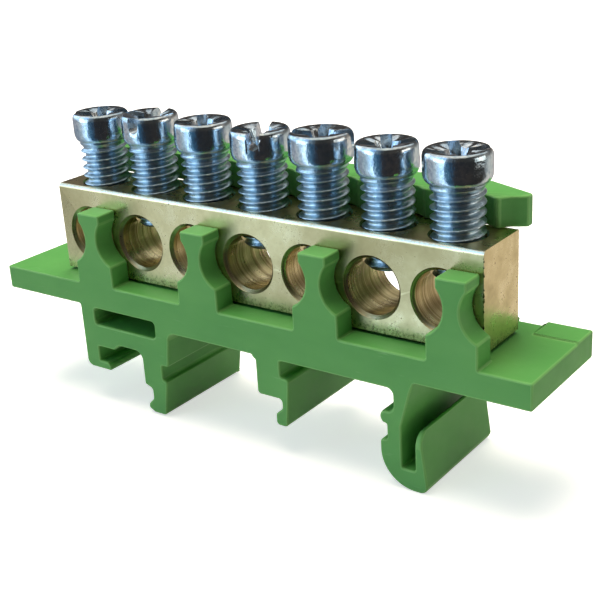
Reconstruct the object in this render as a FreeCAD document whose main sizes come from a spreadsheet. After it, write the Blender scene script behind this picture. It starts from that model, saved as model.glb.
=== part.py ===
"""Earth terminal bar: a brass bar with seven clamping ways on a moulded rail carrier.

X runs along the bar, Y from the front of the carrier to its back, and Z up. The origin is the
middle of the seat on the wide mounting rail, in line with the rail's top face. Each body is drawn
from the middle way, the carrier's front and the top of its plate, and then placed from there.
Wires enter the round cross holes along Y, and seven screws clamp them from above.
"""
import FreeCAD, Part
import math
import os
import Sketcher
from FreeCAD import Placement, Rotation, Vector

SIZES = {
    # brass bar
    "way_count": 7,
    "way_pitch": 9.0,
    "bar_end": 5.3,
    "bar_height": 12.0,
    "bar_depth": 8.4,
    "bar_edge": 0.15,
    "wire_hole_diameter": 7.0,
    "wire_hole_height": 5.45,
    "wire_hole_chamfer": 0.4,
    # clamp screws
    "thread_diameter": 6.3,
    "thread_clearance": 0.05,
    "thread_length": 11.0,
    "tip_chamfer": 0.7,
    "head_diameter": 7.6,
    "head_height": 3.7,
    "head_top_inset": 0.55,
    "head_top_bevel": 0.9,
    "head_bottom_bevel": 1.1,
    "slot_width": 1.6,
    "slot_depth": 2.0,
    "cross_width": 1.3,
    "cross_length": 6.7,
    # carrier plate
    "carrier_depth": 16.0,
    "plate_left": 41.6,
    "plate_right": 39.6,
    "plate_thickness": 3.3,
    "beam_drop": 1.3,
    "seat_height": 0.4,
    "seat_margin": 1.2,
    "front_ledge": 3.3,
    "bar_fit": 0.05,
    "wing_pad_length": 5.5,
    "wing_pad_width": 4.2,
    "wing_pad_height": 0.45,
    # waisted fingers in front of the bar and posts behind it
    "finger_shift": 3.0,
    "finger_base_width": 6.4,
    "finger_base_height": 3.0,
    "finger_head_width": 3.8,
    "finger_neck_height": 8.7,
    "finger_height": 9.9,
    "finger_waist_radius": 3.65,
    # scalloped wall above the back edge of the bar
    "wall_inset": 0.8,
    "wall_height": 3.6,
    "wall_overhang": 1.1,
    "head_clearance": 0.4,
    "wall_flat_end": 3.3,
    "wall_step_length": 1.8,
    "wall_step_back": 1.6,
    "wall_step_radius": 3.0,
    "wall_end": 0.7,
    "wall_tip_front": 2.5,
    "wall_tip_back": 1.45,
    "wall_taper": 5.6,
    "ridge_width": 1.65,
    "ridge_rise": 0.5,
    # rail foot
    "rail_width": 35.0,
    "claw_face": 13.5,
    "claw_slot_top": 9.6,
    "claw_slot_height": 2.3,
    "claw_width": 4.6,
    "claw_toe": 17.0,
    "claw_barb": 1.2,
    "claw_waist_depth": 1.25,
    "claw_waist_top": 13.5,
    "claw_waist_bottom": 15.0,
    "claw_heel_top": 15.9,
    "claw_heel_inset": 0.3,
    "hook_back": 27.6,
    "hook_wall": 2.5,
    "hook_toe": 12.5,
    "hook_toe_round": 1.0,
    "hook_lip": 1.95,
    "hook_lip_height": 1.15,
    "hook_roof": 9.15,
    "hook_roof_length": 3.1,
    "bridge_bottom": 8.35,
    "window_top": 3.5,
    "window_height": 2.4,
    "window_side": 1.7,
    "window_round": 0.6,
    "small_rail_width": 15.0,
    "small_rail_play": 1.1,
    "small_claw_bottom": 9.8,
    "small_claw_width": 4.9,
    "small_claw_toe": 13.5,
    "small_toe_step": 1.05,
    "small_toe_waist": 11.1,
    "small_toe_top": 12.0,
    "small_slot_height": 2.3,
    "latch_groove_top": 9.2,
    "latch_groove_height": 2.1,
    "latch_tooth": 0.95,
    "latch_tooth_height": 1.6,
    "latch_stem": 1.9,
    "latch_stem_flare": 1.3,
    "latch_root_round": 0.9,
    "latch_radius": 4.5,
    "latch_centre_drop": 12.7,
    "latch_slot_width": 1.8,
    "latch_slot_bottom": 14.5,
    "latch_lever_width": 1.55,
    "latch_lever_lean": 0.85,
    "latch_lever_top": 9.5,
    "latch_lever_round": 2.0,
    "latch_heel_round": 1.0,
    "foot_back_round": 1.0,
    "corner_round": 0.5,
    "root_round": 1.2,
}

# Each screw stands as far out of the bar as it was left in the photograph, in millimetres, with
# its driving slot turned from the bar's length, in degrees.
SCREW_LIFTS = (5.8, 6.25, 6.1, 5.9, 6.3, 5.95, 6.0)
SCREW_TURNS = (35.0, 96.0, 41.0, 114.0, 20.0, 32.0, 39.0)


class Size:
    """A length with its value and the sheet expression that it comes from."""

    def __init__(self, value, text):
        self.value = value
        self.text = text

    def join(self, other, sign, value):
        return Size(value, "(%s %s %s)" % (self.text, sign, as_size(other).text))

    def __add__(self, other):
        return self.join(other, "+", self.value + as_size(other).value)

    def __sub__(self, other):
        return self.join(other, "-", self.value - as_size(other).value)

    def __mul__(self, other):
        return self.join(other, "*", self.value * as_size(other).value)

    def __truediv__(self, other):
        return self.join(other, "/", self.value / as_size(other).value)

    def __rsub__(self, other):
        return as_size(other) - self

    def __rmul__(self, other):
        return as_size(other) * self

    def __neg__(self):
        return Size(-self.value, "(-1 * %s)" % self.text)


def as_size(number):
    """Give a plain number the form of a Size."""
    return number if isinstance(number, Size) else Size(float(number), repr(number))


def make_sheet(doc):
    """Write the driving dimensions into a spreadsheet, one aliased cell each."""
    sheet = doc.addObject("Spreadsheet::Sheet", "sizes")
    for row, (name, number) in enumerate(SIZES.items(), start=1):
        sheet.set("A%d" % row, name)
        sheet.set("B%d" % row, repr(number))
        sheet.setAlias("B%d" % row, name)
    doc.recompute()
    return sheet


def size(name):
    """Look up a driving dimension by its name."""
    return Size(float(SIZES[name]), "sizes.%s" % name)


def new_body(doc, name):
    body = doc.addObject("PartDesign::Body", name)
    body.Label = name
    return body


def place(body, along, back, up, turn=0.0):
    """Move a body to its place, measured from the plate's front edge below the middle way."""
    seat = (latch_face() - size("rail_width") / 2, size("carrier_depth") / 2,
            -size("claw_slot_top"))
    base = [as_size(local) - origin for local, origin in zip((along, back, up), seat)]
    body.Placement = Placement(Vector(*[length.value for length in base]),
                               Rotation(Vector(0, 0, 1), turn))
    for axis, length in zip("xyz", base):
        body.setExpression("Placement.Base.%s" % axis, length.text)


def origin_part(body, role):
    """Find an axis or a plane of the body's own origin."""
    return next(part for part in body.Origin.OriginFeatures if part.Role == role)


def new_sketch(body, name, role, offset=None):
    """Start a sketch on an origin plane, moved along the plane's normal."""
    sketch = body.newObject("Sketcher::SketchObject", name)
    sketch.AttachmentSupport = [(origin_part(body, role), "")]
    sketch.MapMode = "FlatFace"
    if offset is not None:
        sketch.setExpression("AttachmentOffset.Base.z", offset.text)
    return sketch


def bind(sketch, kind, *args):
    """Add a dimension to the sketch and tie it to the sheet."""
    length = args[-1]
    index = sketch.addConstraint(Sketcher.Constraint(kind, *args[:-1], length.value))
    sketch.setExpression("Constraints[%d]" % index, length.text)


def arc_middle(start, end, radius):
    """Middle of the short arc between two points; a positive radius bulges to the right."""
    chord = end - start
    sagitta = abs(radius) - math.sqrt(radius * radius - chord.Length ** 2 / 4)
    across = Vector(chord.y, -chord.x, 0).normalize()
    return (start + end) / 2 + across * math.copysign(sagitta, radius)


def draw_outline(sketch, points):
    """Draw a closed outline. A point is (x, y), or (x, y, r) when an arc leads to it.

    A positive radius turns the way the outline runs, anticlockwise, and a negative one against it.
    """
    places = [Vector(as_size(p[0]).value, as_size(p[1]).value, 0) for p in points]
    first = sketch.GeometryCount
    ends = []
    for index, point in enumerate(points):
        start, end = places[index - 1], places[index]
        radius = as_size(point[2]).value if len(point) == 3 else 0
        if radius > 0:
            sketch.addGeometry(Part.Arc(start, arc_middle(start, end, radius), end), False)
        elif radius < 0:
            sketch.addGeometry(Part.Arc(end, arc_middle(start, end, radius), start), False)
        else:
            sketch.addGeometry(Part.LineSegment(start, end), False)
        # Arcs are stored anticlockwise, so one that turns the other way ends at its first vertex.
        ends.append((2, 1) if radius < 0 else (1, 2))
    for index, point in enumerate(points):
        edge = first + index
        before = first + (index - 1) % len(points)
        sketch.addConstraint(Sketcher.Constraint("Coincident", before, ends[index - 1][1],
                                                 edge, ends[index][0]))
        bind(sketch, "DistanceX", -1, 1, edge, ends[index][1], as_size(point[0]))
        bind(sketch, "DistanceY", -1, 1, edge, ends[index][1], as_size(point[1]))
        if len(point) == 3:
            radius = as_size(point[2])
            bind(sketch, "Radius", edge, radius if radius.value > 0 else -radius)


def draw_circle(sketch, x, y, radius):
    centre = Vector(as_size(x).value, as_size(y).value, 0)
    index = sketch.addGeometry(Part.Circle(centre, Vector(0, 0, 1), radius.value), False)
    bind(sketch, "DistanceX", -1, 1, index, 3, as_size(x))
    bind(sketch, "DistanceY", -1, 1, index, 3, as_size(y))
    bind(sketch, "Radius", index, radius)


def rectangle(left, bottom, right, top):
    return [(left, bottom), (right, bottom), (right, top), (left, top)]


def round_rectangle(left, bottom, right, top, corner):
    return [
        (left + corner, bottom, corner), (right - corner, bottom),
        (right, bottom + corner, corner), (right, top - corner),
        (right - corner, top, corner), (left + corner, top),
        (left, top - corner, corner), (left, bottom + corner),
    ]


def pad(body, name, sketch, length, backwards=False):
    feature = body.newObject("PartDesign::Pad", name)
    feature.Profile = sketch
    feature.setExpression("Length", length.text)
    feature.Reversed = backwards
    return feature


def pocket(body, name, sketch, length=None, backwards=False, midplane=False):
    """Cut a sketch out of the body, to a depth or right through."""
    body.Document.recompute()
    before = body.Shape.Volume
    feature = body.newObject("PartDesign::Pocket", name)
    feature.Profile = sketch
    if length is None:
        feature.Type = "ThroughAll"
    else:
        feature.setExpression("Length", length.text)
    feature.Reversed = backwards
    feature.Midplane = midplane
    body.Document.recompute()
    if feature.Shape.Volume > before - 1e-3:
        raise RuntimeError("%s cut nothing" % name)
    return feature


def repeat_along_x(body, name, features, spacing, count):
    """Repeat features along the bar."""
    pattern = body.newObject("PartDesign::LinearPattern", name)
    pattern.Originals = features
    pattern.Direction = (origin_part(body, "X_Axis"), [""])
    pattern.setExpression("Length", (spacing * (count - 1)).text)
    pattern.setExpression("Occurrences", count.text)
    body.Tip = pattern
    return pattern


def waisted_outline(centre, bottom, neck, top):
    """Front view of a post with a wide base, a waist cut by two round bites, and a head."""
    base = size("finger_base_width") / 2
    head = size("finger_head_width") / 2
    shoulder = bottom + size("finger_base_height")
    bite = size("finger_waist_radius")
    return [
        (centre - base, bottom),
        (centre + base, bottom),
        (centre + base, shoulder),
        (centre + head, neck, -bite),
        (centre + head, top),
        (centre - head, top),
        (centre - head, neck),
        (centre - base, shoulder, -bite),
    ]


def make_plate(body):
    """Flat plate with thin wings and a deeper beam between the legs of the foot."""
    left, right = -size("plate_left"), size("plate_right")
    under = -size("plate_thickness")
    beam = under - size("beam_drop")
    latch_side = latch_face() + size("latch_tooth")
    sketch = new_sketch(body, "plate_outline", "XZ_Plane")
    draw_outline(sketch, [
        (left, 0), (left, under), (-size("claw_face"), under), (-size("claw_face"), beam),
        (latch_side, beam), (latch_side, under), (right, under), (right, 0),
    ])
    pad(body, "plate", sketch, size("carrier_depth"), backwards=True)

    reach = bar_reach() - size("seat_margin")
    front = size("front_ledge")
    back = bar_back() - size("seat_margin")
    sketch = new_sketch(body, "seat_outline", "XY_Plane")
    draw_outline(sketch, rectangle(-reach, front + size("seat_margin"), reach, back))
    pad(body, "seat", sketch, size("seat_height"))

    back = size("carrier_depth")
    pad_front = back - size("wing_pad_width")
    pad_length = size("wing_pad_length")
    sketch = new_sketch(body, "wing_pad_outlines", "XY_Plane")
    draw_outline(sketch, rectangle(left, pad_front, left + pad_length, back))
    draw_outline(sketch, rectangle(right - pad_length, pad_front, right, back))
    pad(body, "wing_pads", sketch, size("wing_pad_height"))


def make_hook_and_claw(body):
    """Left part of the foot: a hook, a bridge with a window, and the fixed claw of the wide rail."""
    face = -size("claw_face")
    slot_top = -size("claw_slot_top")
    slot_bottom = slot_top - size("claw_slot_height")
    toe = -size("claw_toe")
    barb = size("claw_barb")
    corner = size("corner_round")
    root = size("root_round")
    claw_right = face + barb
    claw_left = claw_right - size("claw_width")
    waist = claw_left + size("claw_waist_depth")
    heel = claw_left + size("claw_heel_inset")
    hook_left = -size("hook_back")
    hook_inside = hook_left + size("hook_wall")
    hook_toe = -size("hook_toe")
    toe_round = size("hook_toe_round")
    lip_top = hook_toe + size("hook_lip_height")
    lip_tip = hook_inside + size("hook_lip")
    bridge = -size("bridge_bottom")
    hook_roof = -size("hook_roof")
    roof_end = hook_inside + size("hook_roof_length")
    top = -size("plate_thickness") / 2
    beam = -size("plate_thickness") - size("beam_drop")
    neck = claw_right + corner

    sketch = new_sketch(body, "claw_outline", "XZ_Plane")
    draw_outline(sketch, [
        (hook_left, top),
        (hook_left, hook_toe + toe_round),
        (hook_left + toe_round, hook_toe, toe_round),
        (lip_tip, hook_toe),
        (lip_tip, lip_top - corner),
        (lip_tip - corner, lip_top),
        (hook_inside, lip_top),
        (hook_inside, hook_roof),
        (roof_end, hook_roof),
        (roof_end - hook_roof + bridge, bridge),
        (claw_left - root, bridge),
        (claw_left, bridge - root, -root),
        (claw_left, corner - size("claw_waist_top")),
        (waist, -size("claw_waist_top")),
        (waist, -size("claw_waist_bottom")),
        (heel, -size("claw_heel_top")),
        (heel, toe + corner),
        (waist, toe),
        (face - corner, toe),
        (face, toe + corner, corner),
        (claw_right - corner, slot_bottom),
        (face + corner, slot_bottom),
        (face, slot_bottom + corner, -corner),
        (face, slot_top),
        (claw_right, slot_top),
        (neck, beam - root),
        (neck + root, beam, -root),
        (neck + root, top),
    ])
    window_top = -size("window_top")
    draw_outline(sketch, round_rectangle(hook_inside, window_top - size("window_height"),
                                         claw_right - size("window_side"), window_top,
                                         size("window_round")))
    pad(body, "hook_and_claw", sketch, size("carrier_depth"), backwards=True)


def latch_face():
    """X of the latch's wall that the far edge of the wide rail rests against."""
    return size("rail_width") - size("claw_face")


def make_small_claw(body):
    """Middle leg of the foot, the fixed claw of the small rail."""
    right_wall = latch_face() + size("latch_tooth")
    face = right_wall - size("small_rail_width") - size("small_rail_play")
    beam = -size("plate_thickness") - size("beam_drop")
    barb = size("claw_barb")
    corner = size("corner_round")
    slot_bottom = beam - size("small_slot_height")
    bottom = -size("small_claw_bottom")
    toe = -size("small_claw_toe")
    right = face + barb
    left = right - size("small_claw_width")
    toe_left = right - barb
    toe_heel = toe_left - size("small_toe_step")
    sketch = new_sketch(body, "small_claw_outline", "XZ_Plane")
    draw_outline(sketch, [
        (left - corner, beam),
        (left, beam - corner, corner),
        (left, bottom + corner),
        (left + corner, bottom, corner),
        (toe_left - corner, bottom),
        (toe_left, bottom - corner, -corner),
        (toe_left, -size("small_toe_waist")),
        (toe_heel, -size("small_toe_top")),
        (toe_heel, toe + corner),
        (toe_heel + corner, toe, corner),
        (right - corner * 2, toe),
        (right - corner, toe + corner, corner),
        (right, slot_bottom - corner),
        (right - corner, slot_bottom, corner),
        (face + corner, slot_bottom),
        (face, slot_bottom + corner, -corner),
        (face, beam),
        (face, -size("plate_thickness")),
        (left - corner, -size("plate_thickness")),
    ])
    pad(body, "small_claw", sketch, size("carrier_depth"), backwards=True)


def make_latch(body):
    """Sprung latch of the foot: a thin stem with two teeth that ends in a round U and a lever."""
    wall = latch_face()
    tooth = size("latch_tooth")
    tip = wall - tooth
    groove_top = -size("latch_groove_top")
    groove_bottom = groove_top - size("latch_groove_height")
    tooth_top = groove_top + size("latch_tooth_height")
    radius = size("latch_radius")
    centre_x = tip + radius
    centre_z = -size("latch_centre_drop")
    stem_right = wall + size("latch_stem")
    slot_right = stem_right + size("latch_slot_width")
    lever_right = slot_right + size("latch_lever_width")
    lever_tip = lever_right - size("latch_lever_lean")
    lever_top = -size("latch_lever_top")
    slot_bottom = -size("latch_slot_bottom")
    under = foot_bottom()
    corner = size("corner_round")
    heel = size("latch_heel_round")
    root = size("latch_root_round")
    plate = -size("plate_thickness")
    beam = plate - size("beam_drop")
    flare = stem_right + size("latch_stem_flare")
    sketch = new_sketch(body, "latch_outline", "XZ_Plane")
    draw_outline(sketch, [
        (wall + tooth - root, plate / 2),
        (wall + tooth - root, beam),
        (wall + tooth, beam - root, -root),
        (wall + tooth, tooth_top + corner),
        (wall + tooth - corner, tooth_top),
        (tip + corner, tooth_top),
        (tip + corner, groove_top, tooth),
        (wall, groove_top),
        (wall, groove_bottom),
        (tip + corner, groove_bottom),
        (tip, groove_bottom - corner, corner),
        (tip, centre_z),
        (centre_x, under, radius),
        (lever_right - heel, under),
        (lever_right, under + heel, heel),
        (lever_tip, lever_top - corner / 2),
        (lever_tip - corner / 2, lever_top, corner / 2),
        (slot_right, lever_top - corner / 2),
        (slot_right, slot_bottom),
        (stem_right, slot_bottom),
        (stem_right, groove_top),
        (flare, beam),
        (flare + corner, plate),
        (flare + corner, plate / 2),
    ])
    pad(body, "latch", sketch, size("carrier_depth"), backwards=True)

    # The lever's upper corners are round at its front and back.
    body.Document.recompute()
    depth = size("carrier_depth")
    rounding = size("latch_lever_round")
    lever = new_sketch(body, "lever_corners", "YZ_Plane", (stem_right + slot_right) / 2)
    draw_outline(lever, [
        (-corner, lever_top - rounding),
        (0, lever_top - rounding),
        (rounding, lever_top, -rounding),
        (rounding, lever_top + corner),
        (-corner, lever_top + corner),
    ])
    draw_outline(lever, [
        (depth + corner, lever_top - rounding),
        (depth + corner, lever_top + corner),
        (depth - rounding, lever_top + corner),
        (depth - rounding, lever_top),
        (depth, lever_top - rounding, -rounding),
    ])
    pocket(body, "lever_rounds", lever, size("latch_radius"), backwards=True)


def foot_bottom():
    """Height of the latch's underside, the lowest part of the foot."""
    return -size("latch_centre_drop") - size("latch_radius")


def round_foot(body):
    """Round the lower back corners of the foot's two longest legs."""
    body.Document.recompute()
    depth = size("carrier_depth")
    rounding = size("foot_back_round")
    corner = size("corner_round")
    sketch = new_sketch(body, "foot_corner", "YZ_Plane")
    draw_outline(sketch, [
        (depth - rounding, foot_bottom() - corner),
        (depth + corner, foot_bottom() - corner),
        (depth + corner, foot_bottom() + rounding),
        (depth, foot_bottom() + rounding),
        (depth - rounding, foot_bottom(), -rounding),
    ])
    pocket(body, "foot_back", sketch, midplane=True)


def last_way():
    """X of the last way, as far from the middle one as the first is."""
    return size("way_pitch") * (size("way_count") - 1) / 2


def bar_reach():
    """Half the length of the bar."""
    return last_way() + size("bar_end")


def bar_back():
    """Y of the bar's back face."""
    return size("front_ledge") + size("bar_depth")


def screw_line():
    """Y of the screws' axes, along the middle of the bar."""
    return size("front_ledge") + size("bar_depth") / 2


def make_fingers(body):
    """Waisted fingers that hold the bar from the front, one for every second way."""
    spacing = size("way_pitch") * 2
    first = size("finger_shift") - last_way()
    sketch = new_sketch(body, "finger_outline", "XZ_Plane")
    draw_outline(sketch, waisted_outline(first, as_size(0), size("finger_neck_height"),
                                         size("finger_height")))
    finger = pad(body, "finger", sketch, size("front_ledge") - size("bar_fit"), backwards=True)
    repeat_along_x(body, "fingers", [finger], spacing, (size("way_count") + 1) / 2)

    # The posts stand between the fingers' places, so every wire hole is open from one side.
    post_front = bar_back() + size("bar_fit")
    sketch = new_sketch(body, "post_outline", "XZ_Plane", -post_front)
    draw_outline(sketch, waisted_outline(first + size("way_pitch"), as_size(0),
                                         size("finger_neck_height"), wall_base()))
    post = pad(body, "post", sketch, wall_back() - post_front, backwards=True)
    repeat_along_x(body, "posts", [post], spacing, (size("way_count") - 1) / 2)


def wall_base():
    """Height of the wall's underside, just above the bar."""
    return size("seat_height") + size("bar_height") + size("bar_fit")


def wall_back():
    """Y of the back of the wall and of the posts under it."""
    return size("carrier_depth") - size("wall_inset")


def make_wall(body):
    """Wall behind the screws that reaches over the bar and clears each screw's head."""
    back = wall_back()
    crest = bar_back() - size("wall_overhang")
    step = crest + size("wall_step_back")
    step_radius = size("wall_step_radius")
    tip_front = back - size("wall_tip_front")
    tip_back = back - size("wall_tip_back")
    flat_end = last_way() + size("wall_flat_end")
    step_end = flat_end + size("wall_step_length")
    end = bar_reach() + size("wall_end")
    taper_end = end - size("wall_taper")
    top = size("wall_height") + size("ridge_rise")
    sketch = new_sketch(body, "wall_outline", "XY_Plane", wall_base())
    draw_outline(sketch, [
        (-end, tip_front),
        (-step_end, step),
        (-flat_end, crest, -step_radius),
        (flat_end, crest),
        (step_end, step, -step_radius),
        (end, tip_front),
        (end, tip_back),
        (taper_end, back),
        (-taper_end, back),
        (-end, tip_back),
    ])
    pad(body, "wall", sketch, top)

    # The front is scalloped round every screw, so that each head can be driven down beside it.
    sketch = new_sketch(body, "scallop_outline", "XY_Plane", wall_base() + top)
    draw_circle(sketch, -last_way(), screw_line(), size("head_diameter") / 2
                + size("head_clearance"))
    scallop = pocket(body, "scallop", sketch, top)
    repeat_along_x(body, "scallops", [scallop], size("way_pitch"), size("way_count"))

    # A flat ledge runs along the wall's top, and a sloping ridge rises behind it.
    ledge = wall_base() + size("wall_height")
    sketch = new_sketch(body, "ledge_outline", "YZ_Plane")
    draw_outline(sketch, [
        (size("front_ledge"), ledge),
        (back - size("ridge_width"), ledge),
        (back, ledge + size("ridge_rise")),
        (back, ledge + size("wall_height")),
        (size("front_ledge"), ledge + size("wall_height")),
    ])
    pocket(body, "ledge", sketch, midplane=True)


def make_carrier(doc):
    """Carrier moulded in one piece, from the rail foot to the wall behind the screws."""
    body = new_body(doc, "rail_carrier")
    make_plate(body)
    doc.recompute()
    make_hook_and_claw(body)
    make_small_claw(body)
    make_latch(body)
    round_foot(body)
    make_fingers(body)
    make_wall(body)
    place(body, 0, 0, 0)
    return body


def make_bar(doc):
    """Brass bar with a row of wire holes through it and a threaded hole above each of them."""
    body = new_body(doc, "terminal_bar")
    reach = bar_reach()
    sketch = new_sketch(body, "bar_outline", "XZ_Plane")
    draw_outline(sketch, rectangle(-reach, as_size(0), reach, size("bar_height")))
    blank = pad(body, "blank", sketch, size("bar_depth"), backwards=True)
    doc.recompute()

    edges = body.newObject("PartDesign::Chamfer", "bar_edges")
    edges.Base = (blank, ["Edge%d" % (i + 1) for i in range(len(blank.Shape.Edges))])
    edges.setExpression("Size", size("bar_edge").text)
    doc.recompute()

    first = -last_way()
    height = size("wire_hole_height")
    radius = size("wire_hole_diameter") / 2
    sketch = new_sketch(body, "wire_hole_outline", "XZ_Plane")
    draw_circle(sketch, first, height, radius)
    wire_hole = pocket(body, "wire_hole", sketch, backwards=False)

    chamfer = size("wire_hole_chamfer")
    sketch = new_sketch(body, "rim_outline", "YZ_Plane", first)
    draw_outline(sketch, [
        (as_size(0), height),
        (as_size(0), height + radius + chamfer),
        (chamfer, height + radius),
        (size("bar_depth") - chamfer, height + radius),
        (size("bar_depth"), height + radius + chamfer),
        (size("bar_depth"), height),
    ])
    rim = body.newObject("PartDesign::Groove", "wire_hole_rims")
    rim.Profile = sketch
    rim.ReferenceAxis = (sketch, ["Edge1"])
    rim.Angle = 360
    doc.recompute()

    sketch = new_sketch(body, "thread_hole_outline", "XY_Plane", size("bar_height"))
    draw_circle(sketch, first, screw_line() - size("front_ledge"), size("thread_diameter") / 2
                + size("thread_clearance"))
    thread_hole = pocket(body, "thread_hole", sketch, size("bar_height") - height)
    repeat_along_x(body, "ways", [wire_hole, rim, thread_hole], size("way_pitch"),
                   size("way_count"))
    place(body, 0, size("front_ledge"), size("seat_height"))
    return body


def make_screw(doc, number, lift, turn):
    """Clamp screw with a barrel-shaped head, a slot with a shorter cross slot, and a bevelled tip."""
    body = new_body(doc, "clamp_screw_%d" % number)
    shank = size("thread_diameter") / 2
    head = size("head_diameter") / 2
    top = size("head_height")
    tip = -size("thread_length")
    chamfer = size("tip_chamfer")
    sketch = new_sketch(body, "screw_outline", "XZ_Plane")
    draw_outline(sketch, [
        (as_size(0), tip),
        (shank - chamfer, tip),
        (shank, tip + chamfer),
        (shank, as_size(0)),
        (head, size("head_bottom_bevel")),
        (head, top - size("head_top_bevel")),
        (head - size("head_top_inset"), top),
        (as_size(0), top),
    ])
    turned = body.newObject("PartDesign::Revolution", "turned_blank")
    turned.Profile = sketch
    turned.ReferenceAxis = (sketch, ["V_Axis"])
    turned.Angle = 360
    doc.recompute()

    half_slot = size("slot_width") / 2
    sketch = new_sketch(body, "slot_outline", "YZ_Plane")
    draw_outline(sketch, rectangle(-half_slot, top - size("slot_depth"), half_slot, top))
    pocket(body, "slot", sketch, midplane=True)

    half_cross = size("cross_width") / 2
    reach = size("cross_length") / 2
    sketch = new_sketch(body, "cross_outline", "XY_Plane", top)
    draw_outline(sketch, rectangle(-half_cross, -reach, half_cross, reach))
    pocket(body, "cross", sketch, size("slot_depth"))

    along = size("way_pitch") * (number - 1) - last_way()
    place(body, along, screw_line(), size("seat_height") + size("bar_height") + lift, turn)
    return body


def check_document(doc, bodies):
    """Stop when a feature failed or a sub-part isn't one valid solid."""
    for item in doc.Objects:
        if "Invalid" in item.State or "Error" in item.State:
            raise RuntimeError("%s failed: %s" % (item.Name, item.State))
    for body in bodies:
        shape = body.Shape
        if shape.isNull() or not shape.isValid() or len(shape.Solids) != 1:
            raise RuntimeError("%s isn't one valid solid" % body.Label)


def main():
    doc = FreeCAD.newDocument("earth_terminal_bar")
    make_sheet(doc)
    bodies = [make_carrier(doc), make_bar(doc)]
    for number in range(1, SIZES["way_count"] + 1):
        seen = (number - 1) % len(SCREW_TURNS)
        bodies.append(make_screw(doc, number, SCREW_LIFTS[seen], SCREW_TURNS[seen]))
    doc.recompute()
    check_document(doc, bodies)
    os.makedirs("parts", exist_ok=True)
    for body in bodies:
        body.Shape.exportStep("parts/%s.step" % body.Label)
        box = body.Shape.BoundBox
        print("%-14s volume %8.1f mm3, X %.2f..%.2f, Y %.2f..%.2f, Z %.2f..%.2f" % (
            body.Label, body.Shape.Volume, box.XMin, box.XMax, box.YMin, box.YMax,
            box.ZMin, box.ZMax))


main()
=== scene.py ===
"""Looks of the earth terminal bar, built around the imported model.

Lengths are in metres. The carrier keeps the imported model's shape with its edges rounded, the bar is
cut anew with a rolled edge and chamfered holes, and each screw gets its helical thread and recess.
"""

import math
import random

import bmesh
import bpy
from mathutils import Matrix, Vector


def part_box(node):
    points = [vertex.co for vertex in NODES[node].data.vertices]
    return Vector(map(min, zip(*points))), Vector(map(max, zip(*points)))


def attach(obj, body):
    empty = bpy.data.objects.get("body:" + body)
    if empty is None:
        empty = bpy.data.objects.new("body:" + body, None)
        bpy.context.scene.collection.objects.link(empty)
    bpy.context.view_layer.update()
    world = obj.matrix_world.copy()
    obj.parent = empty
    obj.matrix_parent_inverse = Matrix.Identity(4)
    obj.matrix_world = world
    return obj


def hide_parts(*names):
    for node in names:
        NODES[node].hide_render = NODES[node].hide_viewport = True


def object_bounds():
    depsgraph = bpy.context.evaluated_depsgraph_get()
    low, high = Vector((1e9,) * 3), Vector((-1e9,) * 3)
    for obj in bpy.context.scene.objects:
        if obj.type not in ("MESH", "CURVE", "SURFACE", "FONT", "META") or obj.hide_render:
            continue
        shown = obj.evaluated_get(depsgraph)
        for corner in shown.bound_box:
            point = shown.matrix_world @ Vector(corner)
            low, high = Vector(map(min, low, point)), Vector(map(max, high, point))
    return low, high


MM = 0.001

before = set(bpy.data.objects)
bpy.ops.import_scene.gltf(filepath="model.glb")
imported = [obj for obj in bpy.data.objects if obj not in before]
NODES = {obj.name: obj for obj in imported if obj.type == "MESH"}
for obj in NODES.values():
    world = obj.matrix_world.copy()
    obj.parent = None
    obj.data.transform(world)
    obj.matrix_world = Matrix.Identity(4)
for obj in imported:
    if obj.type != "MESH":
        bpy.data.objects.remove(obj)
CAD_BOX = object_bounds()
SCREWS = sorted(name for name in NODES if name.startswith("clamp_screw_"))
HOLDER = "holder"

# Camera, fitted to the photograph. Angles are in degrees.
CAMERA_PLACE = Vector((81.765, -108.117, 62.747)) * MM
CAMERA_YAW = 37.052
CAMERA_PITCH = -21.362
CAMERA_ROLL = -3.599
CAMERA_CLIP = (0.005, 20)
SENSOR_WIDTH = 36
FOCAL_PIXELS = 1155.7
PHOTO_WIDTH = 600

# Points closer than NEAR are one point. Cutters reach past a surface by REACH.
NEAR = 1e-6
REACH = 1 * MM
ARC_STEPS = 8

# Carrier. The pads at its far corners stand only a line's height above the plate, and there is a
# notch beside the right one. Faces narrower than the strip width are the rounded edges. Here and
# below, a ROUND is how far a rounding reaches from its edge, and ROUND_ABOVE and SHARP are angles
# between faces, in degrees.
CARRIER_ROUND = 0.24 * MM
CARRIER_ROUND_ABOVE = 30
CARRIER_SHARP = 50
STRIP_WIDTH = 0.18 * MM
PLATE_TOP = 9.6 * MM
NOTCH = [[v * MM for v in corner] for corner in ((26.5, 6.95, 6), (30.1, 9, 9.66))]
PAD_HEIGHT = 0.45 * MM
PAD_SHOWN = 0.12 * MM
HEIGHT_SLACK = 0.02 * MM

# Bar. The frame doesn't give the sizes of its holes. The burr is sunk into the bar's rounded edge
# by a share of that rounding.
BAR_ROUND = 0.14 * MM
BAR_ROUND_STEPS = 3
BAR_FRONT_ROUND = 0.5 * MM
BAR_FRONT_ROUND_STEPS = 6
BAR_SHARP = 35
WIRE_HOLE_RADIUS = 3.5 * MM
WIRE_HOLE_HEIGHT = 5.45 * MM
WIRE_HOLE_SEGMENTS = 96
BORE_CHAMFER = 0.4 * MM
BORE_LIP = 0.04 * MM
BORE_LIP_END = 0.09 * MM
THREAD_HOLE_RADIUS = 3.2 * MM
THREAD_HOLE_SEGMENTS = 72
COUNTERSINK = 0.22 * MM
SINK_RADIUS = THREAD_HOLE_RADIUS + 2 * COUNTERSINK
BURR_SEED = 4
BURR_STEP = 0.16 * MM
BURR_HEIGHT = 0.3 * MM
BURR_THICK = 0.14 * MM
BURR_SUNK = 0.3

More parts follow.
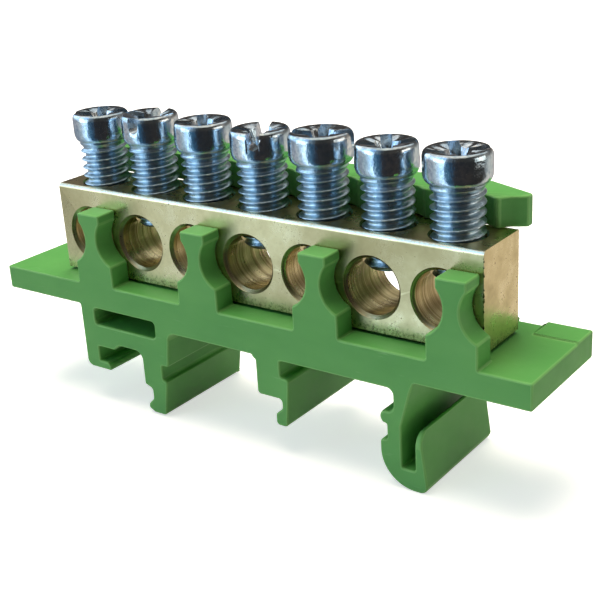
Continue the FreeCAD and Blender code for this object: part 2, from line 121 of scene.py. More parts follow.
# Marks on the bar: painted shade in the chamfers round its holes and in the countersinks under the
# heads, soiling and painted shade at the burr, dark patches that grow towards its bottom, and a
# painted reflection on the rolled edge, whose faces have normals that lean to the front and up by
# ROLLED_LEAN or more.
RIM_MARGIN = 0.05 * MM
BURR_DIRT_AND_SHADE = 0.2 * MM
CHAMFER_SHADE = 0.2
DARKER_LOW_REACH = 2 * MM
ROLLED_LEAN = 0.15

# Screws. The head is a barrel with a dished and creased top, whose rounding reaches inwards and
# down by HEAD_TOP_ROUND. A screw has its own turn about its axis, in degrees, and its own share of
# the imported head's radius.
SHANK_RADIUS = 3.15 * MM
THREAD_PITCH = 1.12 * MM
THREAD_DEPTH = 0.6 * MM
THREAD_RUNOUT = 1.3 * THREAD_PITCH
THREAD_STEPS = 20
CREST_SHARPNESS = 1.4
TIP_CHAMFER = 0.7 * MM
SCREW_SEGMENTS = 96
SCREW_SHARP = 40
HEAD_HEIGHT = 3.7 * MM
HEAD_ROUND = 0.11 * MM
HEAD_ROUND_ABOVE = 38
HEAD_TOP_ROUND = (0.5 * MM, 0.8 * MM)
HEAD_BOTTOM_RISE = 1.2 * MM
HEAD_DISH = 0.42 * MM
DISH_INSIDE = 1 * MM
DISH_STEPS = 3
HEAD_CREASE = 0.15 * MM
CREASES = 24
CREASED_INSIDE = 0.9 * MM
CREASED_RIM = 0.1 * MM
SLOT_WIDTH = 1.45 * MM
SLOT_DEPTH = 2.0 * MM
CROSS_WIDTH = 1.15 * MM
CROSS_LENGTH = 6.7 * MM
CROSS_DEPTH = 1.7 * MM
GROOVE_DRAFT = 0.12
HOLLOW_RADII = (1.75 * MM, 0.8 * MM)
HOLLOW_DEPTH = 2.4 * MM
HOLLOW_SEGMENTS = 32
DULL_ABOVE_SHANK = 0.5 * MM
SCREW_TURNS = (35.0, 96.0, 41.0, 114.0, 20.0, 32.0, 39.0)
HEAD_SCALES = (0.985, 0.985, 0.985, 0.985, 1.03, 0.985, 1.03)

# Room seen by the metal. Its colours follow a turn round the object: 0 and 1 are straight behind
# the object, 0.25 is on the left, 0.5 is at the camera and 0.75 is on the right.
TO_CAMERA = (0.602, -0.798, 0)
TO_RIGHT = (0.798, 0.602, 0)
ROOM_LOW = (
    (0.0, (0.36, 0.34, 0.36)), (0.21, (0.38, 0.40, 0.44)), (0.261, (0.52, 0.58, 0.60)),
    (0.292, (0.70, 0.86, 0.98)), (0.322, (1.1, 1.5, 1.9)), (0.345, (1.1, 1.5, 1.9)),
    (0.362, (0.10, 0.24, 0.36)), (0.395, (0.05, 0.12, 0.20)), (0.45, (0.034, 0.032, 0.034)),
    (0.73, (0.03, 0.026, 0.022)), (0.76, (0.55, 0.52, 0.48)), (0.81, (0.78, 0.70, 0.60)),
    (1.0, (0.36, 0.34, 0.36)))
ROOM_HIGH = (
    (0.0, (0.05, 0.042, 0.036)), (0.07, (0.07, 0.07, 0.075)), (0.11, (1.2, 1.6, 2.0)),
    (0.17, (1.2, 1.6, 2.0)), (0.205, (0.75, 1.0, 1.3)), (0.238, (1.0, 1.4, 1.9)),
    (0.3, (0.75, 1.15, 1.7)), (0.37, (0.25, 0.33, 0.40)), (0.45, (0.05, 0.045, 0.04)),
    (0.66, (0.05, 0.045, 0.04)), (0.76, (0.3, 0.27, 0.24)), (0.93, (0.10, 0.09, 0.08)),
    (1.0, (0.05, 0.042, 0.036)))
ROOM_FAR_SIDES = (0.95, 0.95, 0.92, 1)
ROOM_CEILING = (1.0, 0.93, 0.8, 1)

# Where the turn, or a direction's rise, passes from one part of the room to the next.
LEFT_TO_FAR = (0.24, 0.17)
RIGHT_TO_FAR = (0.8, 0.88)
LOW_TO_HIGH = (-0.05, 0.2)
HIGH_TO_FAR_SIDES = (0.5, 0.62)
HIGH_TO_CEILING = (0.78, 0.92)

# Strength of the room as the metal mirrors it, and as it lights the object.
ROOM_STRENGTH = 1.0
ROOM_LIGHT = 0.42

# Floor, whose own glow brings it up to white away from the object.
FLOOR_HALF = 1.5
FLOOR_THICK = 2 * MM
FLOOR_COLOUR = (0.8, 0.8, 0.8, 1)
FLOOR_LIFT = 0.6
FLOOR_FADE = (0.1, 0.4)

# Soft lamps: name, place, size, watts, colour, and whether the metal mirrors them.
LAMPS = (
    ("overhead", (-0.08, 0.05, 0.5), (0.35, 0.35), 3.2, (1.05, 0.95, 0.8), False),
    ("bounce", (0.45, 0.12, 0.1), (0.3, 0.3), 0.45, (1, 0.95, 0.85), True),
    ("window", (-0.3, -0.45, 0.12), (0.4, 0.3), 0.5, (0.8, 0.95, 1), True),
)


def nodes_of(block, output_kind="OutputMaterial"):
    """A material's or world's empty tree: its output node, a function that adds nodes, a link.

    The adding function takes a node's inputs by name, or by number as _0, _1 and so on.
    """
    block.use_nodes = True
    tree = block.node_tree
    tree.nodes.clear()
    output = tree.nodes.new("ShaderNode" + output_kind)

    def add(kind, operation=None, **inputs):
        node = tree.nodes.new("ShaderNode" + kind)
        if operation:
            node.operation = operation
        for name, value in inputs.items():
            key = int(name[1:]) if name[0] == "_" else name.replace("_", " ")
            if isinstance(value, bpy.types.NodeSocket):
                tree.links.new(value, node.inputs[key])
            else:
                node.inputs[key].default_value = value
        return node

    return output, add, tree.links.new


def ramp(add, factor, *stops):
    """A colour ramp over a factor, from (position, colour) stops."""
    node = add("ValToRGB", Fac=factor)
    elements = node.color_ramp.elements
    while len(elements) < len(stops):
        elements.new(0.5)
    for element, (position, colour) in zip(elements, stops):
        element.position = position
        element.color = (*colour, 1)
    return node.outputs["Color"]


def level(add, value, low, high, to_low=0.0, to_high=1.0):
    """A value's range mapped to another and clamped."""
    return add("MapRange", Value=value, From_Min=low, From_Max=high, To_Min=to_low,
               To_Max=to_high).outputs["Result"]


def combined(add, operation, first, second):
    """Two values put together by a maths operation, such as ADD or MULTIPLY."""
    return add("Math", operation, _0=first, _1=second).outputs[0]


def noise(add, place, scale, detail, roughness):
    """Noise from 0 to 1, with a scale in waves to a metre."""
    return add("TexNoise", Vector=place, Scale=scale, Detail=detail,
               Roughness=roughness).outputs["Fac"]


def stretched(add, place, *scale):
    """The place scaled by its own amount along each axis, for noise with a grain."""
    return add("Mapping", Vector=place, Scale=scale).outputs["Vector"]


def mixed(add, factor, first, second):
    return add("MixRGB", Fac=factor, Color1=first, Color2=second).outputs["Color"]


def bumped(add, height, strength, distance, **under):
    """Normal that a height gives; Normal= names the one that it is laid on."""
    return add("Bump", Strength=strength, Distance=distance, Height=height,
               **under).outputs["Normal"]


def marked_faces(add, name):
    """The face values that mark_faces gave under the name."""
    node = add("Attribute")
    node.attribute_name = name
    return node.outputs["Fac"]


def green_plastic():
    """Satin moulded polyamide: faint flow marks, fine grain, scuffs, and a painted highlight that
    makes the rounded edges lighter.
    """
    material = bpy.data.materials.new("green_polyamide")
    output, add, link = nodes_of(material)
    deep, fresh = (0.090, 0.325, 0.075), (0.118, 0.38, 0.092)
    scuff, edge_highlight = (0.22, 0.48, 0.2, 1), (0.24, 0.52, 0.17, 1)
    place = add("TexCoord").outputs["Object"]
    flow = noise(add, stretched(add, place, 60, 90, 160), 1, 3, 0.55)
    grain = noise(add, place, 2600, 3, 0.6)
    blotch = noise(add, place, 420, 4, 0.6)
    scratch = noise(add, stretched(add, place, 260, 3600, 2200), 1, 2, 0.5)
    colour = ramp(add, flow, (0.3, deep), (0.7, fresh))
    colour = mixed(add, level(add, scratch, 0.7, 0.78, 0, 0.35), colour, scuff)
    # Painted highlight: the rounded edges are painted lighter and yellower.
    edge = level(add, marked_faces(add, "rounded"), 0, 1, 0, 0.45)
    colour = mixed(add, edge, colour, edge_highlight)
    normal = bumped(add, grain, 0.2, 0.03 * MM)
    normal = bumped(add, flow, 0.15, 0.12 * MM, Normal=normal)
    shader = add("BsdfPrincipled", Base_Color=colour, Normal=normal, IOR=1.4,
                 Roughness=level(add, blotch, 0.3, 0.7, 0.4, 0.52))
    link(shader.outputs["BSDF"], output.inputs["Surface"])
    return material


def brass():
    """Drawn brass: tarnish clouds, pits, drawing lines, rings in the bores and dark patches that grow
    towards the bottom; painted shade in the chamfers and countersinks, soiling and painted shade at
    the burr, and a painted reflection on the rolled edge.
    """
    material = bpy.data.materials.new("brass")
    output, add, link = nodes_of(material)
    dull, plain, bright = (0.62, 0.51, 0.27), (0.76, 0.64, 0.35), (0.87, 0.76, 0.46)
    pit, ring_shade, dirt_and_shade_colour = (0.2, 0.13, 0.05, 1), (0.36, 0.27, 0.12, 1), (0.05, 0.035, 0.02, 1)
    painted_reflection = (0.80, 0.90, 0.84, 1)
    place = add("TexCoord").outputs["Object"]
    bored = marked_faces(add, "worked")
    lines = noise(add, stretched(add, place, 60, 1500, 1500), 1, 3, 0.6)
    rings = noise(add, stretched(add, place, 40, 2600, 40), 1, 3, 0.55)
    cloud = noise(add, place, 330, 5, 0.62)
    speck = noise(add, place, 3600, 2, 0.5)
    patches = noise(add, place, 2600, 5, 0.75)

    colour = ramp(add, cloud, (0.32, dull), (0.5, plain), (0.68, bright))
    in_clouds = combined(add, "MULTIPLY", speck, level(add, cloud, 0.4, 0.6, 0.85, 1.0))
    colour = mixed(add, level(add, in_clouds, 0.635, 0.69), colour, pit)
    ringed = combined(add, "MULTIPLY", bored, level(add, rings, 0.42, 0.6, 0.0, 0.8))
    colour = mixed(add, ringed, colour, ring_shade)

    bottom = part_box("terminal_bar")[0].z
    # Dark patches all over the bar, more of them towards its bottom.
    height_here = add("SeparateXYZ", Vector=place).outputs["Z"]
    low_down = level(add, height_here, bottom, bottom + DARKER_LOW_REACH, 0.24, 0.0)
    darker_low = level(add, combined(add, "ADD", patches, low_down), 0.64, 0.86, 0, 0.8)
    # Painted shade in the chamfers and countersinks, soiling and painted shade at the burr, speckled.
    dirt_and_shade_share = combined(add, "MULTIPLY", marked_faces(add, "dirt_and_shade"),
                    level(add, speck, 0.35, 0.6, 0.95, 0.45))
    colour = mixed(add, combined(add, "MAXIMUM", dirt_and_shade_share, darker_low), colour, dirt_and_shade_colour)
    # Painted reflection: the rolled edge is painted pale cyan-white in patches, like a window
    # mirrored in it.
    painted_reflection_share = combined(add, "MULTIPLY", marked_faces(add, "rolled"),
                    level(add, patches, 0.42, 0.6, 0.95, 0.25))
    colour = mixed(add, painted_reflection_share, colour, painted_reflection)

    relief = level(add, bored, 0, 1, 0.02 * MM, 0.16 * MM)
    normal = bumped(add, mixed(add, bored, lines, rings), 0.6, relief)
    normal = bumped(add, cloud, 0.6, 0.05 * MM, Normal=normal)
    shader = add("BsdfPrincipled", Base_Color=colour, Normal=normal, Metallic=1,
                 Roughness=level(add, cloud, 0.3, 0.7, 0.38, 0.22))
    link(shader.outputs["BSDF"], output.inputs["Surface"])
    return material


def zinc():
    """Blue-passivated zinc plating: speckled and dimpled, with duller and rougher threads."""
    material = bpy.data.materials.new("zinc_plated_steel")
    output, add, link = nodes_of(material)
    bluish, plain, pale = (0.55, 0.68, 0.76), (0.70, 0.78, 0.84), (0.84, 0.86, 0.86)
    thread_tone, speckle = (0.47, 0.61, 0.69, 1), (0.30, 0.42, 0.54, 1)
    place = add("TexCoord").outputs["Object"]
    threaded = marked_faces(add, "worked")
    tint = noise(add, place, 330, 3, 0.5)
    mottle = noise(add, place, 1700, 4, 0.65)
    dimple = noise(add, place, 900, 2, 0.5)
    brushed = noise(add, stretched(add, place, 2600, 2600, 500), 1, 3, 0.6)
    colour = ramp(add, tint, (0.36, bluish), (0.5, plain), (0.64, pale))
    colour = mixed(add, threaded, colour, mixed(add, 0.75, colour, thread_tone))
    colour = mixed(add, level(add, mottle, 0.35, 0.6, 0.6, 0), colour, speckle)
    rough = combined(add, "ADD", level(add, mottle, 0.3, 0.7, 0.22, 0.1),
                     level(add, threaded, 0, 1, 0, 0.16))
    relief = level(add, threaded, 0, 1, 0.05 * MM, 0.08 * MM)
    normal = bumped(add, mixed(add, 0.35, mottle, brushed), 0.7, relief)
    normal = bumped(add, dimple, 0.45, 0.1 * MM, Normal=normal)
    shader = add("BsdfPrincipled", Base_Color=colour, Normal=normal, Metallic=1,
                 Roughness=rough)
    link(shader.outputs["BSDF"], output.inputs["Surface"])
    return material


def new_piece(name, mesh, material, slot, body, *nodes):
    """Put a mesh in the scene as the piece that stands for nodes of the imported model."""
    piece = bpy.data.objects.new(name, mesh)
    bpy.context.scene.collection.objects.link(piece)
    mesh.materials.clear()
    mesh.materials.append(material)
    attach(piece, body)
    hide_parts(*nodes)
    return piece


def settle(piece):
    """Apply the piece's modifiers to its mesh."""
    graph = bpy.context.evaluated_depsgraph_get()
    mesh = bpy.data.meshes.new_from_object(piece.evaluated_get(graph))
    piece.modifiers.clear()
    piece.data = mesh


def cut(piece, *tools):
    """Cut meshes out of a piece, one after the other."""
    for tool in tools:
        cutter = bpy.data.objects.new("cutter", tool)
        bpy.context.scene.collection.objects.link(cutter)
        modifier = piece.modifiers.new("cut", "BOOLEAN")
        modifier.operation = "DIFFERENCE"
        modifier.solver = "EXACT"
        modifier.object = cutter
        settle(piece)
        bpy.data.objects.remove(cutter)


def bevel_edges(piece, width, angle, clamp):
    """Round the piece's edges that are sharper than an angle."""
    bevel = piece.modifiers.new("rounded_edges", "BEVEL")
    bevel.width = width
    bevel.segments = 3
    bevel.limit_method = "ANGLE"
    bevel.angle_limit = math.radians(angle)
    bevel.miter_outer = "MITER_ARC"
    bevel.use_clamp_overlap = clamp
    settle(piece)


def flatten_shading(piece, angle):
    """Smooth shading up to an angle, in which large flat faces stay flat."""
    piece.data.shade_smooth()
    piece.data.set_sharp_from_angle(angle=math.radians(angle))
    weighted = piece.modifiers.new("flat_faces", "WEIGHTED_NORMAL")
    weighted.mode = "FACE_AREA"
    weighted.weight = 100
    weighted.keep_sharp = True
    settle(piece)


def mark_faces(mesh, name, wanted):
    """Face values of how much a face is wanted, for the material to read."""
    marks = mesh.attributes.new(name, "FLOAT", "FACE")
    for face in mesh.polygons:
        marks.data[face.index].value = float(wanted(face))


def mesh_of(shape):
    mesh = bpy.data.meshes.new("shape")
    shape.to_mesh(mesh)
    shape.free()
    return mesh


def box_mesh(low, high):
    shape = bmesh.new()
    bmesh.ops.create_cube(shape, size=1)
    for vert in shape.verts:
        vert.co = Vector([lo + (hi - lo) * (c + 0.5) for lo, hi, c in zip(low, high, vert.co)])
    return mesh_of(shape)


def lathe(rings, segments, capped_top=True, dip=None):
    """Rings of (height, radius) about Z; dip(height, angle, radius) may change a radius."""
    shape = bmesh.new()
    columns = []
    for height, radius in rings:
        column = []
        for step in range(segments):
            angle = 2 * math.pi * step / segments
            here = dip(height, angle, radius) if dip else radius
            column.append(shape.verts.new((here * math.cos(angle), here * math.sin(angle),
                                           height)))
        columns.append(column)
    for lower, upper in zip(columns, columns[1:]):
        for step in range(segments):
            after = (step + 1) % segments
            shape.faces.new((lower[step], lower[after], upper[after], upper[step]))
    shape.faces.new(list(reversed(columns[0])))
    if capped_top:
        shape.faces.new(columns[-1])
    return mesh_of(shape)


def arc(start, end, hollow):
    """Points of a quarter ellipse; hollow turns the curve towards the other corner."""
    points = []
    for index in range(1, ARC_STEPS + 1):
        turned = math.pi / 2 * index / ARC_STEPS
        along, across = 1 - math.cos(turned), math.sin(turned)
        if hollow:
            along, across = across, along
        points.append((start[0] + (end[0] - start[0]) * along,
                       start[1] + (end[1] - start[1]) * across))
    return points


def joined_copy(node):
    """Copy of a node's mesh with its triangles joined back into flat faces.

    The faces that look up are split again where they are concave, so that rounding their edges
    doesn't fold them.
    """
    mesh = NODES[node].data.copy()
    shape = bmesh.new()
    shape.from_mesh(mesh)
    bmesh.ops.remove_doubles(shape, verts=shape.verts, dist=NEAR)
    bmesh.ops.dissolve_limit(shape, angle_limit=math.radians(1.0), verts=shape.verts,
                             edges=shape.edges)
    bmesh.ops.connect_verts_concave(
        shape, faces=[face for face in shape.faces if face.normal.z > 0.9])
    shape.to_mesh(mesh)
    shape.free()
    return mesh


def make_carrier(material):
    """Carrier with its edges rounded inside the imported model's box and its pads lowered."""
    piece = new_piece("moulded_carrier", joined_copy("rail_carrier"), material,
                      "green_polyamide", HOLDER, "rail_carrier")
    for vert in piece.data.vertices:
        if abs(vert.co.z - PLATE_TOP - PAD_HEIGHT) < HEIGHT_SLACK:
            vert.co.z = PLATE_TOP + PAD_SHOWN
    cut(piece, box_mesh(*NOTCH))
    bevel_edges(piece, CARRIER_ROUND, CARRIER_ROUND_ABOVE, clamp=False)
    low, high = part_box("rail_carrier")
    for vert in piece.data.vertices:
        vert.co = [min(max(c, least), most) for c, least, most in zip(vert.co, low, high)]
    flatten_shading(piece, CARRIER_SHARP)
    corners = [vert.co for vert in piece.data.vertices]

    def is_strip(face):
        around = sum((corners[a] - corners[b]).length for a, b in face.edge_keys)
        return face.area < STRIP_WIDTH / 2 * around

    # The rounded strips carry the painted highlight of the plastic.
    mark_faces(piece.data, "rounded", is_strip)


def round_edges(shape, width, segments, wanted):
    """Round the edges of a box whose middle point is wanted."""
    edges = [edge for edge in shape.edges
             if wanted((edge.verts[0].co + edge.verts[1].co) / 2)]
    bmesh.ops.bevel(shape, geom=edges, offset=width, offset_type="OFFSET", segments=segments,
                    profile=0.5, affect="EDGES", clamp_overlap=True)


def blank_mesh(low, high):
    """Bar before it is drilled, with its long top edge rolled over at the front."""
    shape = bmesh.new()
    shape.from_mesh(box_mesh(low, high))

    def top_front(point):
        return abs(point.y - low.y) < NEAR and abs(point.z - high.z) < NEAR

    def box_edge(point):
        return sum(abs(c - side) < NEAR for corner in (low, high)
                   for c, side in zip(point, corner)) == 2

    round_edges(shape, BAR_FRONT_ROUND, BAR_FRONT_ROUND_STEPS, top_front)
    round_edges(shape, BAR_ROUND, BAR_ROUND_STEPS, box_edge)
    return mesh_of(shape)


def burr_mesh(low, high):
    """Ragged saw burr up the bar's front edge at its sawn end."""
    draw = random.Random(BURR_SEED)
    shape = bmesh.new()
    start = low.z + BAR_ROUND
    stop = high.z - BAR_FRONT_ROUND
    front = low.y + BAR_ROUND * BURR_SUNK
    corner = high.x - BAR_ROUND * BURR_SUNK
    steps = int((stop - start) / BURR_STEP)
    columns = []
    for index in range(steps + 1):
        height = start + (stop - start) * index / steps
        tall = BURR_HEIGHT * draw.random() ** 2 if 0 < index < steps else 0.0
        thick = BURR_THICK * (0.5 + draw.random())
        row = ((corner - thick, front, height), (corner + tall, front - tall, height),
               (corner, front + thick, height))
        columns.append([shape.verts.new(point) for point in row])
    for lower, upper in zip(columns, columns[1:]):
        for side in range(3):
            after = (side + 1) % 3
            shape.faces.new((lower[side], lower[after], upper[after], upper[side]))
    shape.faces.new(columns[0])
    shape.faces.new(list(reversed(columns[-1])))
    bmesh.ops.recalc_face_normals(shape, faces=shape.faces)
    return mesh_of(shape)


def bore_mesh(depth):
    """Cutter for a wire hole along Z, chamfered at both ends of the bar's depth."""
    outside = WIRE_HOLE_RADIUS + BORE_CHAMFER
    rings = [(-REACH, outside), (BORE_LIP, outside), (BORE_LIP_END, outside - BORE_LIP),
             (BORE_CHAMFER, WIRE_HOLE_RADIUS)]
    rings += [(depth - along, radius) for along, radius in reversed(rings)]
    return lathe(rings, WIRE_HOLE_SEGMENTS)


def mark_bar(mesh, low, high, bore_height, centres):
    """Mark the bored faces, the faces darkened by soiling and painted shade, and the rolled faces
    that carry the painted reflection.
    """
    rim = WIRE_HOLE_RADIUS + BORE_CHAMFER - RIM_MARGIN

    def from_bore(point):
        return min(math.hypot(point.x - c.x, point.z - bore_height) for c in centres)

    def from_screw(point):
        return min(math.hypot(point.x - c.x, point.y - c.y) for c in centres)

    def is_bored(face):
        return from_bore(face.center) < rim

    def dirt_and_shade_mark(face):
        point = face.center
        # At the burr: soiling and painted shade.
        if point.x > high.x - BURR_DIRT_AND_SHADE and point.y < low.y + BURR_DIRT_AND_SHADE:
            return 1
        # In the countersinks under the heads: painted shade.
        if point.z > high.z - COUNTERSINK and from_screw(point) < SINK_RADIUS:
            return point.z < high.z - HEIGHT_SLACK
        # In the bore chamfers: a lighter painted shade.
        return CHAMFER_SHADE * (WIRE_HOLE_RADIUS + HEIGHT_SLACK < from_bore(point) < rim)

    # The rolled faces carry the painted reflection.
    def is_rolled(face):
        return (face.normal.y < -ROLLED_LEAN and face.normal.z > ROLLED_LEAN
                and face.center.z > high.z - BAR_FRONT_ROUND)

    mark_faces(mesh, "worked", is_bored)
    mark_faces(mesh, "dirt_and_shade", dirt_and_shade_mark)
    mark_faces(mesh, "rolled", is_rolled)


def make_bar(material):
    """Drawn bar with chamfered wire holes, countersunk screw holes and a saw burr."""
    low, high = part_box("terminal_bar")
    piece = new_piece("drilled_bar", blank_mesh(low, high), material, "brass", HOLDER,
                      "terminal_bar")
    bore_height = low.z + WIRE_HOLE_HEIGHT
    sink = [(bore_height, THREAD_HOLE_RADIUS), (high.z - COUNTERSINK, THREAD_HOLE_RADIUS),
            (high.z + COUNTERSINK, SINK_RADIUS)]
    centres = []
    for name in SCREWS:
        screw_low, screw_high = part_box(name)
        middle = (screw_low + screw_high) / 2
        centres.append(middle)
        bore = bore_mesh(high.y - low.y)
        bore.transform(Matrix.Translation((middle.x, low.y, bore_height))
                       @ Matrix.Rotation(-math.pi / 2, 4, "X"))
        hole = lathe(sink, THREAD_HOLE_SEGMENTS)
        hole.transform(Matrix.Translation((middle.x, middle.y, 0)))
        cut(piece, bore, hole)
    joined = bmesh.new()
    joined.from_mesh(piece.data)
    joined.from_mesh(burr_mesh(low, high))
    joined.to_mesh(piece.data)
    joined.free()
    flatten_shading(piece, BAR_SHARP)
    mark_bar(piece.data, low, high, bore_height, centres)


def thread_mesh(low, top):
    """Threaded shank open at its top, with rounded crests that fade out under the head."""
    step = THREAD_PITCH / THREAD_STEPS
    heights = [low + index * step for index in range(int((top - low) / step) + 1)]
    rings = [(height, min(SHANK_RADIUS, SHANK_RADIUS - TIP_CHAMFER + height - low))
             for height in heights]
    rings.append((top, SHANK_RADIUS))

    def dip(height, angle, radius):
        phase = (height / THREAD_PITCH - angle / (2 * math.pi)) % 1
        away = abs(phase - 0.5) * 2
        crest = (1 - math.cos(math.pi * away ** CREST_SHARPNESS)) / 2
        faded = min(1, max(0, (top - height) / THREAD_RUNOUT))
        return min(radius, SHANK_RADIUS - THREAD_DEPTH * (1 - crest) * faded)

    return lathe(rings, SCREW_SEGMENTS, capped_top=False, dip=dip)


def head_mesh(number, under, top, radius):
    """Barrel head with a dished top, creased at random from a seed of its own."""
    inset, drop = HEAD_TOP_ROUND
    rim = radius - inset
    land = (rim - DISH_INSIDE) / DISH_STEPS
    rings = [(under, SHANK_RADIUS)]
    rings += arc((under, SHANK_RADIUS), (under + HEAD_BOTTOM_RISE, radius), False)
    rings.append((top - drop, radius))
    rings += arc((top - drop, radius), (top, rim), True)
    rings += [(top - HEAD_DISH * step / DISH_STEPS, rim - land * step)
              for step in range(1, DISH_STEPS + 1)]
    head = lathe(rings, SCREW_SEGMENTS)

    draw = random.Random(number)
    creases = [draw.uniform(-1, 1) for _ in range(CREASES)]
    lowest = top - HEAD_DISH - HEIGHT_SLACK / 2
    for vert in head.vertices:
        away = math.hypot(vert.co.x, vert.co.y)
        if vert.co.z > lowest and CREASED_INSIDE < away < rim - CREASED_RIM:
            turned = (math.atan2(vert.co.y, vert.co.x) / (2 * math.pi) % 1) * CREASES
            first = creases[int(turned) % CREASES]
            second = creases[(int(turned) + 1) % CREASES]
            vert.co.z += HEAD_CREASE * (first + (second - first) * (turned % 1))
    return head


def groove_mesh(length, width, bottom, top):
    """Cutter for a slot along X with a round bottom and sides that open upwards."""
    shape = bmesh.new()
    half = width / 2
    opened = half + GROOVE_DRAFT * (top - bottom - half)
    outline = [(-opened, top), (-half, bottom + half)]
    for index in range(1, ARC_STEPS):
        turned = math.pi * index / ARC_STEPS
        outline.append((-half * math.cos(turned), bottom + half * (1 - math.sin(turned))))
    outline += [(half, bottom + half), (opened, top)]
    ends = [[shape.verts.new((x, y, z)) for y, z in outline] for x in (-length / 2, length / 2)]
    count = len(outline)
    for index in range(count):
        after = (index + 1) % count
        shape.faces.new((ends[0][index], ends[0][after], ends[1][after], ends[1][index]))
    shape.faces.new(list(reversed(ends[0])))
    shape.faces.new(ends[1])
    bmesh.ops.recalc_face_normals(shape, faces=shape.faces)
    return mesh_of(shape)


def recess_meshes(top, radius):
    """Cutters of a head's recess: a slot right across, a shorter cross slot and a hollow."""
    above = top + REACH
    slot = groove_mesh(4 * radius, SLOT_WIDTH, top - SLOT_DEPTH, above)
    cross = groove_mesh(CROSS_LENGTH, CROSS_WIDTH, top - CROSS_DEPTH, above)
    cross.transform(Matrix.Rotation(math.pi / 2, 4, "Z"))
    wide, narrow = HOLLOW_RADII
    slope = (wide - narrow) / HOLLOW_DEPTH
    hollow = lathe([(top - HOLLOW_DEPTH, narrow), (above, wide + slope * REACH)],
                   HOLLOW_SEGMENTS)
    return slot, cross, hollow


def make_screw(number, turn, scale, material):
    """Clamp screw: its head, cut and rounded, joined to its threaded shank."""
    node = "clamp_screw_%d" % number
    low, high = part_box(node)
    centre = (low + high) / 2
    radius = (high.x - low.x) / 2 * scale
    under = high.z - HEAD_HEIGHT
    piece = new_piece("threaded_screw_%d" % number, head_mesh(number, under, high.z, radius),
                      material, "zinc_plated_steel", "screw_%d" % number, node)
    cut(piece, *recess_meshes(high.z, radius))
    bevel_edges(piece, HEAD_ROUND, HEAD_ROUND_ABOVE, clamp=True)
    shape = bmesh.new()
    shape.from_mesh(piece.data)
    caps = [face for face in shape.faces
            if all(abs(vert.co.z - under) < NEAR for vert in face.verts)]
    bmesh.ops.delete(shape, geom=caps, context="FACES")
    shape.from_mesh(thread_mesh(low.z, under))
    bmesh.ops.remove_doubles(shape, verts=shape.verts, dist=2 * NEAR)
    shape.to_mesh(piece.data)
    shape.free()
    piece.data.transform(Matrix.Translation((centre.x, centre.y, 0))
                         @ Matrix.Rotation(math.radians(turn), 4, "Z"))
    flatten_shading(piece, SCREW_SHARP)
    dull_top = under + DULL_ABOVE_SHANK
    mark_faces(piece.data, "worked", lambda face: face.center.z < dull_top)


def look_matrix():
    """Camera's place and turn from the yaw, pitch and roll fitted to the photograph."""
    yaw, pitch, roll = (math.radians(a) for a in (CAMERA_YAW, CAMERA_PITCH, CAMERA_ROLL))
    forward = Vector((-math.sin(yaw) * math.cos(pitch), math.cos(yaw) * math.cos(pitch),
                      math.sin(pitch)))
    right = Vector((math.cos(yaw), math.sin(yaw), 0))
    up = right.cross(forward)
    rolled_right = right * math.cos(roll) + up * math.sin(roll)
    rolled_up = up * math.cos(roll) - right * math.sin(roll)
    matrix = Matrix((rolled_right, rolled_up, -forward)).transposed().to_4x4()
    matrix.translation = CAMERA_PLACE
    return matrix


def make_camera():
    data = bpy.data.cameras.new("camera")
    data.sensor_width = SENSOR_WIDTH
    data.lens = FOCAL_PIXELS / PHOTO_WIDTH * SENSOR_WIDTH
    data.clip_start, data.clip_end = CAMERA_CLIP
    camera = bpy.data.objects.new("camera", data)
    bpy.context.scene.collection.objects.link(camera)
    camera.matrix_world = look_matrix()
    bpy.context.scene.camera = camera


def area_light(name, place, size, power, colour, mirrored):
    """Soft lamp aimed at the object; the metal mirrors it only if mirrored."""
    data = bpy.data.lights.new(name, "AREA")
    data.shape = "RECTANGLE"
    data.size, data.size_y = size
    data.energy = power
    data.color = colour
    lamp = bpy.data.objects.new(name, data)
    lamp.location = place
    lamp.rotation_euler = (-Vector(place)).to_track_quat("-Z", "Y").to_euler()
    lamp.visible_glossy = mirrored
    bpy.context.scene.collection.objects.link(lamp)


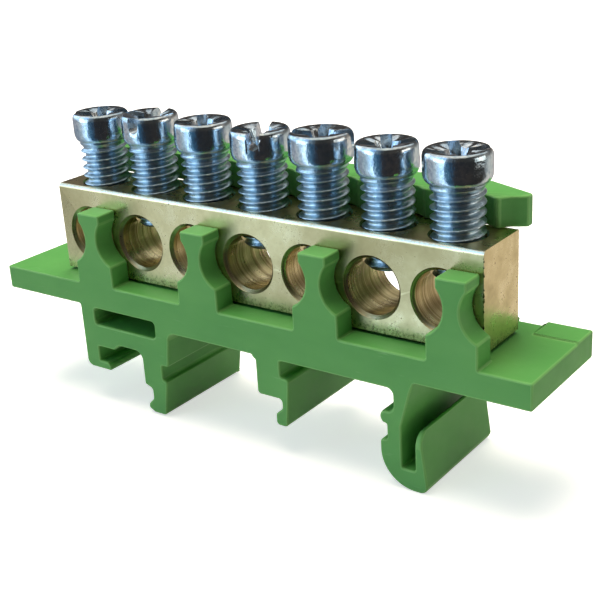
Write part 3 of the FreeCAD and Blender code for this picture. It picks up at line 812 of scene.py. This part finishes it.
def make_world():
    """White behind the object, and round it a room with a window on the left and a dark side."""
    world = bpy.data.worlds.new("studio")
    bpy.context.scene.world = world
    output, add, link = nodes_of(world, "OutputWorld")
    place = add("TexCoord").outputs["Generated"]
    ahead = add("VectorMath", "DOT_PRODUCT", _0=place, _1=TO_CAMERA).outputs["Value"]
    aside = add("VectorMath", "DOT_PRODUCT", _0=place, _1=TO_RIGHT).outputs["Value"]
    share = level(add, combined(add, "ARCTAN2", aside, ahead), -math.pi, math.pi)
    rise = add("SeparateXYZ", Vector=place).outputs["Z"]
    far = combined(add, "ADD", level(add, share, *LEFT_TO_FAR), level(add, share, *RIGHT_TO_FAR))
    far = combined(add, "MULTIPLY", far, level(add, rise, *HIGH_TO_FAR_SIDES))
    high = mixed(add, far, ramp(add, share, *ROOM_HIGH), ROOM_FAR_SIDES)
    room = mixed(add, level(add, rise, *LOW_TO_HIGH), ramp(add, share, *ROOM_LOW), high)
    room = mixed(add, level(add, rise, *HIGH_TO_CEILING), room, ROOM_CEILING)
    rays = add("LightPath")
    strength = level(add, rays.outputs["Is Glossy Ray"], 0, 1, ROOM_LIGHT, ROOM_STRENGTH)
    around = add("Background", Color=room, Strength=strength)
    white = add("Background", Color=(1, 1, 1, 1), Strength=1)
    seen = combined(add, "ADD", rays.outputs["Is Camera Ray"],
                    rays.outputs["Is Transmission Ray"])
    both = add("MixShader", Fac=seen, _1=around.outputs[0], _2=white.outputs[0])
    link(both.outputs[0], output.inputs["Surface"])


def make_floor():
    """Pale floor: white with the object's soft shadow, and seen through by the metal."""
    low = CAD_BOX[0]
    mesh = box_mesh((-FLOOR_HALF, -FLOOR_HALF, low.z - FLOOR_THICK),
                    (FLOOR_HALF, FLOOR_HALF, low.z))
    floor = bpy.data.objects.new("floor", mesh)
    bpy.context.scene.collection.objects.link(floor)
    material = bpy.data.materials.new("floor")
    output, add, link = nodes_of(material)
    diffuse = add("BsdfDiffuse", Color=FLOOR_COLOUR)
    away = add("VectorMath", "LENGTH", _0=add("TexCoord").outputs["Object"]).outputs["Value"]
    lifted = add("Emission", Color=(1, 1, 1, 1),
                 Strength=level(add, away, *FLOOR_FADE, FLOOR_LIFT, 1.0))
    shown = add("AddShader", _0=diffuse.outputs[0], _1=lifted.outputs[0])
    clear = add("BsdfTransparent")
    rays = add("LightPath")
    seen = add("MixShader", Fac=rays.outputs["Is Camera Ray"], _1=diffuse.outputs[0],
               _2=shown.outputs[0])
    both = add("MixShader", Fac=rays.outputs["Is Glossy Ray"], _1=seen.outputs[0],
               _2=clear.outputs[0])
    link(both.outputs[0], output.inputs["Surface"])
    mesh.materials.append(material)


def main():
    green, yellow, blue = green_plastic(), brass(), zinc()
    make_carrier(green)
    make_bar(yellow)
    for number, (turn, scale) in enumerate(zip(SCREW_TURNS, HEAD_SCALES), start=1):
        make_screw(number, turn, scale, blue)
    make_camera()
    make_world()
    make_floor()
    for lamp in LAMPS:
        area_light(*lamp)
    bpy.context.scene.view_settings.view_transform = "Standard"


main()
